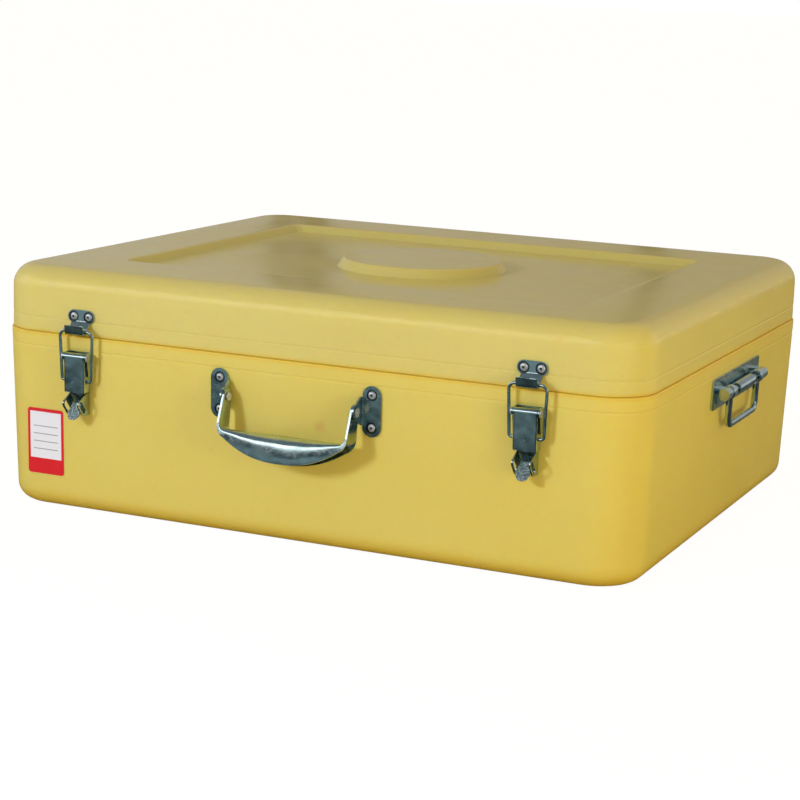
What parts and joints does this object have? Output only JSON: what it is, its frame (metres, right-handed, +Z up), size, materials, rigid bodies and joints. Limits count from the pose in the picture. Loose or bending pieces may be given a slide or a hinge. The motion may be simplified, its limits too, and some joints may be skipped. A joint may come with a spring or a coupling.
{
  "type": "tool box",
  "caption": "Rectangular moulded plastic tool box with a hinged lid, draw latches with padlock eyes, a swinging front carry handle and sprung end handles.",
  "frame": {"origin": "middle of the flat underside, at the level of the surface that the box stands on", "axes": "+X along the front, +Y from the front to the hinged back, +Z up"},
  "size_m": [0.7322, 0.6459, 0.252],
  "materials": {
    "yellow_plastic": "satin rotationally moulded polyethylene",
    "zinc_steel": "bright zinc plate on pressed steel",
    "rivet_steel": "dull zinc plate",
    "seal_rubber": "soft black rubber",
    "label_film": "printed self-adhesive film"
  },
  "bodies": {
    "base": {"base_shell": "yellow_plastic", "bracket_rivets": "rivet_steel", "front_label": "label_film", "handle_bracket_left": "zinc_steel", "handle_bracket_right": "zinc_steel", "handle_pivot_left": "zinc_steel", "handle_pivot_right": "zinc_steel", "hinge_base_leaf_left": "zinc_steel", "hinge_base_leaf_right": "zinc_steel", "hinge_base_rivets": "rivet_steel", "hinge_pin_left": "zinc_steel", "hinge_pin_right": "zinc_steel", "latch_base_left": "zinc_steel", "latch_base_right": "zinc_steel", "latch_base_rivets": "rivet_steel", "latch_pivot_pin_left": "zinc_steel", "latch_pivot_pin_right": "zinc_steel", "side_pin_left": "zinc_steel", "side_pin_right": "zinc_steel", "side_plate_left": "zinc_steel", "side_plate_right": "zinc_steel", "side_plate_rivets": "rivet_steel", "side_spring_left": "zinc_steel", "side_spring_right": "zinc_steel"},
    "lid": {"catch_rivets": "rivet_steel", "hinge_lid_leaf_left": "zinc_steel", "hinge_lid_leaf_right": "zinc_steel", "hinge_lid_rivets": "rivet_steel", "latch_catch_left": "zinc_steel", "latch_catch_right": "zinc_steel", "lid_seal": "seal_rubber", "lid_shell": "yellow_plastic"},
    "latch_lever_left": {"latch_lever_left": "zinc_steel"},
    "latch_lever_right": {"latch_lever_right": "zinc_steel"},
    "latch_bail_left": {"latch_bail_left": "zinc_steel"},
    "latch_bail_right": {"latch_bail_right": "zinc_steel"},
    "carry_handle": {"carry_handle": "zinc_steel"},
    "side_handle_left": {"side_handle_left": "zinc_steel"},
    "side_handle_right": {"side_handle_right": "zinc_steel"}
  },
  "joints": [
    {"name": "lid_hinge", "type": "hinge", "parent": "base", "child": "lid", "pos_m": [0, 0.3055, 0.1844], "axis": [-1, 0, 0], "range_deg": [0, 180]},
    {"name": "latch_lever_left_swing", "type": "hinge", "parent": "base", "child": "latch_lever_left", "pos_m": [-0.2435, -0.31049, 0.16471], "axis": [-1, 0, 0], "range_deg": [0, 90]},
    {"name": "latch_bail_left_swing", "type": "hinge", "parent": "latch_lever_left", "child": "latch_bail_left", "pos_m": [-0.2435, -0.30733, 0.13978], "axis": [-1, 0, 0], "range_deg": [-49.5, 0]},
    {"name": "side_handle_left_swing", "type": "hinge", "parent": "base", "child": "side_handle_left", "pos_m": [-0.3591, 0.019, 0.15023], "axis": [0, 1, 0], "range_deg": [0, 90], "stiffness_Nm_per_rad": 0.08, "springref_deg": -45.84},
    {"name": "latch_lever_right_swing", "type": "hinge", "parent": "base", "child": "latch_lever_right", "pos_m": [0.2435, -0.31049, 0.16471], "axis": [-1, 0, 0], "range_deg": [0, 90]},
    {"name": "latch_bail_right_swing", "type": "hinge", "parent": "latch_lever_right", "child": "latch_bail_right", "pos_m": [0.2435, -0.30733, 0.13978], "axis": [-1, 0, 0], "range_deg": [-49.5, 0]},
    {"name": "side_handle_right_swing", "type": "hinge", "parent": "base", "child": "side_handle_right", "pos_m": [0.3591, 0.019, 0.15023], "axis": [0, -1, 0], "range_deg": [0, 90], "stiffness_Nm_per_rad": 0.08, "springref_deg": -45.84},
    {"name": "carry_handle_swing", "type": "hinge", "parent": "base", "child": "carry_handle", "pos_m": [0, -0.31094, 0.14418], "axis": [-1, 0, 0], "range_deg": [-15.5, 154.5]}
  ],
  "couplings": [
    {"joint": "latch_bail_left_swing", "follows": "latch_lever_left_swing", "ratio": -0.55},
    {"joint": "latch_bail_right_swing", "follows": "latch_lever_right_swing", "ratio": -0.55}
  ]
}
